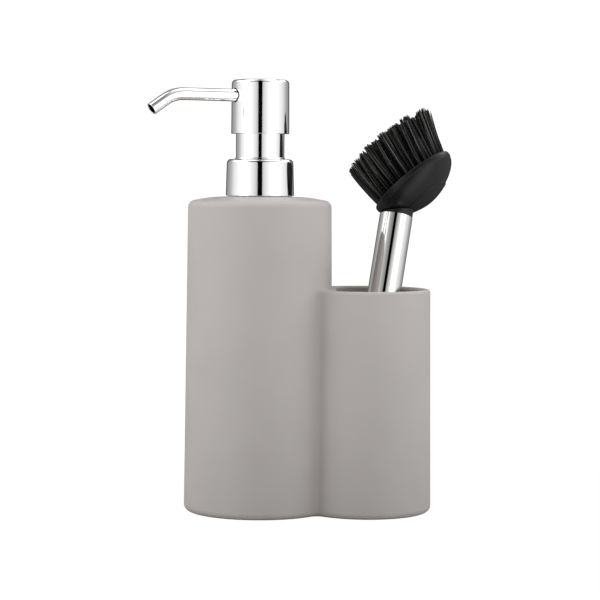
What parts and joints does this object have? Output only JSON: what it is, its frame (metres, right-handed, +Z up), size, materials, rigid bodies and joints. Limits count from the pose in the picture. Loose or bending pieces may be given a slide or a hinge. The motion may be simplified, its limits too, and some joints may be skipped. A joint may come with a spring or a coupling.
{
  "type": "soap dispenser with brush",
  "caption": "Tall soap tank and lower brush cup cast as one matte ceramic body, with a chromed push pump with bent spout and a black-bristled brush with chromed handle leaning in the cup.",
  "frame": {"origin": "on the tank's vertical axis, in the plane that the part stands on", "axes": "+Z up along the tank's axis, +X from the tank to the cup, +Y away from the front"},
  "size_m": [0.1426, 0.0921, 0.2019],
  "materials": {
    "ceramic": "matte, warm grey glazed ceramic, opaque",
    "pad": "soft foam",
    "chrome": "polished",
    "white_plastic": "moulded",
    "clear_plastic": "extruded",
    "seal": "soft",
    "steel": "drawn",
    "black_plastic": "moulded, semi-matte",
    "bristle": "nylon filament"
  },
  "bodies": {
    "stand": {"ceramic_body": "ceramic", "tank_pad": "pad", "cup_pad": "pad", "neck_insert": "white_plastic"},
    "gasket": {"neck_gasket": "seal"},
    "pump_body": {"pump_cylinder": "white_plastic", "cylinder_cap": "white_plastic", "dip_tube": "clear_plastic", "inlet_ball": "steel", "return_spring": "steel"},
    "closure": {"closure_nut": "black_plastic", "collar_shell": "chrome", "neck_sleeve": "chrome"},
    "piston": {"piston_seal": "white_plastic"},
    "head": {"piston_stem": "white_plastic", "outlet_ball": "steel", "head_core": "black_plastic", "head_shell": "chrome", "spout_tube": "chrome"},
    "brush_foot": {"handle_end_cap": "black_plastic"},
    "brush": {"handle_tube": "chrome", "handle_plug": "black_plastic", "brush_collar": "black_plastic", "brush_bowl": "black_plastic", "bristle_plate": "black_plastic", "bristles": "bristle"}
  },
  "joints": [
    {"name": "pump_pull_out", "type": "slide", "parent": "stand", "child": "gasket", "axis": [0, 0, 1], "range_m": [0, 0.155]},
    {"name": "thread_lift", "type": "slide", "parent": "gasket", "child": "pump_body", "axis": [0, 0, 1], "range_m": [0, 0.0064]},
    {"name": "closure_turn", "type": "hinge", "parent": "pump_body", "child": "closure", "pos_m": [0, 0, 0.155], "axis": [0, 0, 1], "range_deg": [0, 540]},
    {"name": "pump_press", "type": "slide", "parent": "pump_body", "child": "piston", "axis": [0, 0, -1], "range_m": [0, 0.011], "stiffness_N_per_m": 400, "springref_m": -0.008, "deforming": ["return_spring"]},
    {"name": "spout_swivel", "type": "hinge", "parent": "piston", "child": "head", "pos_m": [0, 0, 0.19], "axis": [0, 0, 1], "continuous": true},
    {"name": "brush_lift", "type": "slide", "parent": "stand", "child": "brush_foot", "axis": [0.1522, 0.2672, 0.9515], "range_m": [0, 0.12]},
    {"name": "brush_turn", "type": "hinge", "parent": "brush_foot", "child": "brush", "pos_m": [0.04437, -0.01008, 0.01015], "axis": [0.1522, 0.2672, 0.9515], "continuous": true}
  ],
  "couplings": [
    {"joint": "thread_lift", "follows": "closure_turn", "m_per_rad": 0.00066845}
  ]
}
